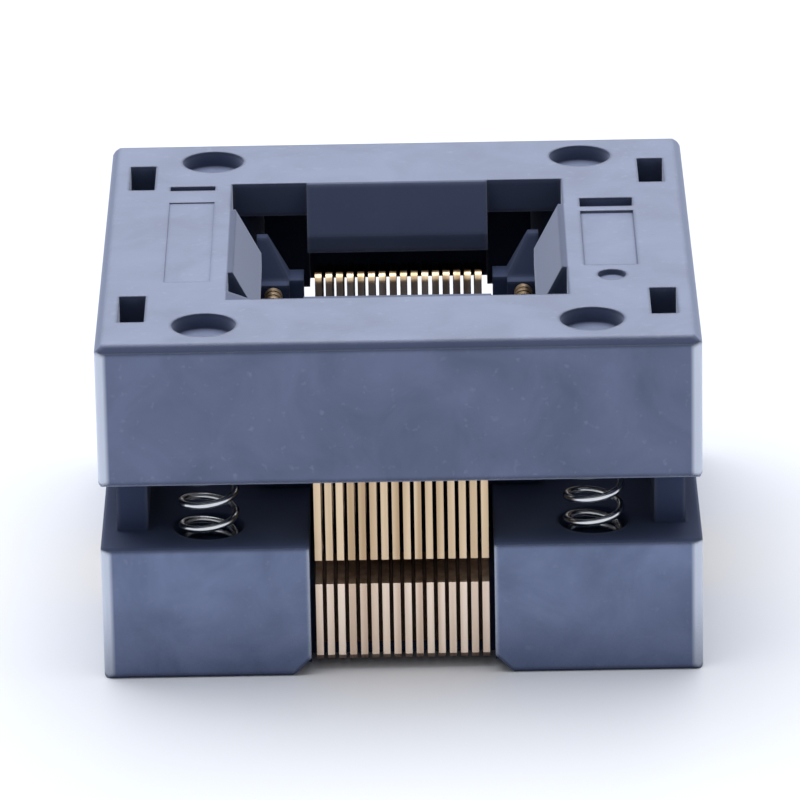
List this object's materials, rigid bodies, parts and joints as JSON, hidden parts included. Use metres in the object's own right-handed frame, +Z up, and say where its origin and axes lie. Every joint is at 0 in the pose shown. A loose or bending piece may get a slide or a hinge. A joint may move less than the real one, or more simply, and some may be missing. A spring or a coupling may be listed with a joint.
{
  "type": "ic socket",
  "caption": "Square open-top test socket: a sprung moulded lid slides down over a base and rows of stamped contacts that grip a flat square package.",
  "frame": {"origin": "middle of the seat plane, the underside of the base and of its tail guide, which stands on the circuit board", "axes": "+Z up out of the board, -Y the front side, +X to the right; the cut corner of the opening is at the front left"},
  "size_m": [0.027, 0.027, 0.019],
  "materials": {
    "lid_plastic": "matte",
    "base_plastic": "matte",
    "nest_plastic": "matte",
    "spring_steel": "bright drawn",
    "contact_gold": "satin"
  },
  "bodies": {
    "base_body": {"base": "base_plastic", "ic_nest": "nest_plastic", "tail_guide": "nest_plastic", "spring_front_left": "spring_steel", "spring_front_right": "spring_steel", "spring_back_right": "spring_steel", "spring_back_left": "spring_steel", "contacts_front_1": "contact_gold", "contacts_front_2": "contact_gold", "contacts_front_3": "contact_gold", "contacts_front_4": "contact_gold", "contacts_front_5": "contact_gold", "contacts_front_6": "contact_gold", "contacts_front_7": "contact_gold", "contacts_front_8": "contact_gold", "contacts_right_1": "contact_gold", "contacts_right_2": "contact_gold", "contacts_right_3": "contact_gold", "contacts_right_4": "contact_gold", "contacts_right_5": "contact_gold", "contacts_right_6": "contact_gold", "contacts_right_7": "contact_gold", "contacts_right_8": "contact_gold", "contacts_back_1": "contact_gold", "contacts_back_2": "contact_gold", "contacts_back_3": "contact_gold", "contacts_back_4": "contact_gold", "contacts_back_5": "contact_gold", "contacts_back_6": "contact_gold", "contacts_back_7": "contact_gold", "contacts_back_8": "contact_gold", "contacts_left_1": "contact_gold", "contacts_left_2": "contact_gold", "contacts_left_3": "contact_gold", "contacts_left_4": "contact_gold", "contacts_left_5": "contact_gold", "contacts_left_6": "contact_gold", "contacts_left_7": "contact_gold", "contacts_left_8": "contact_gold"},
    "lid_body": {"lid": "lid_plastic"}
  },
  "joints": [
    {"name": "lid_press", "type": "slide", "parent": "base_body", "child": "lid_body", "axis": [0, 0, -1], "range_m": [0, 0.0027], "stiffness_N_per_m": 2560, "springref_m": -0.0001, "deforming": ["spring_front_left", "spring_front_right", "spring_back_right", "spring_back_left"]}
  ]
}
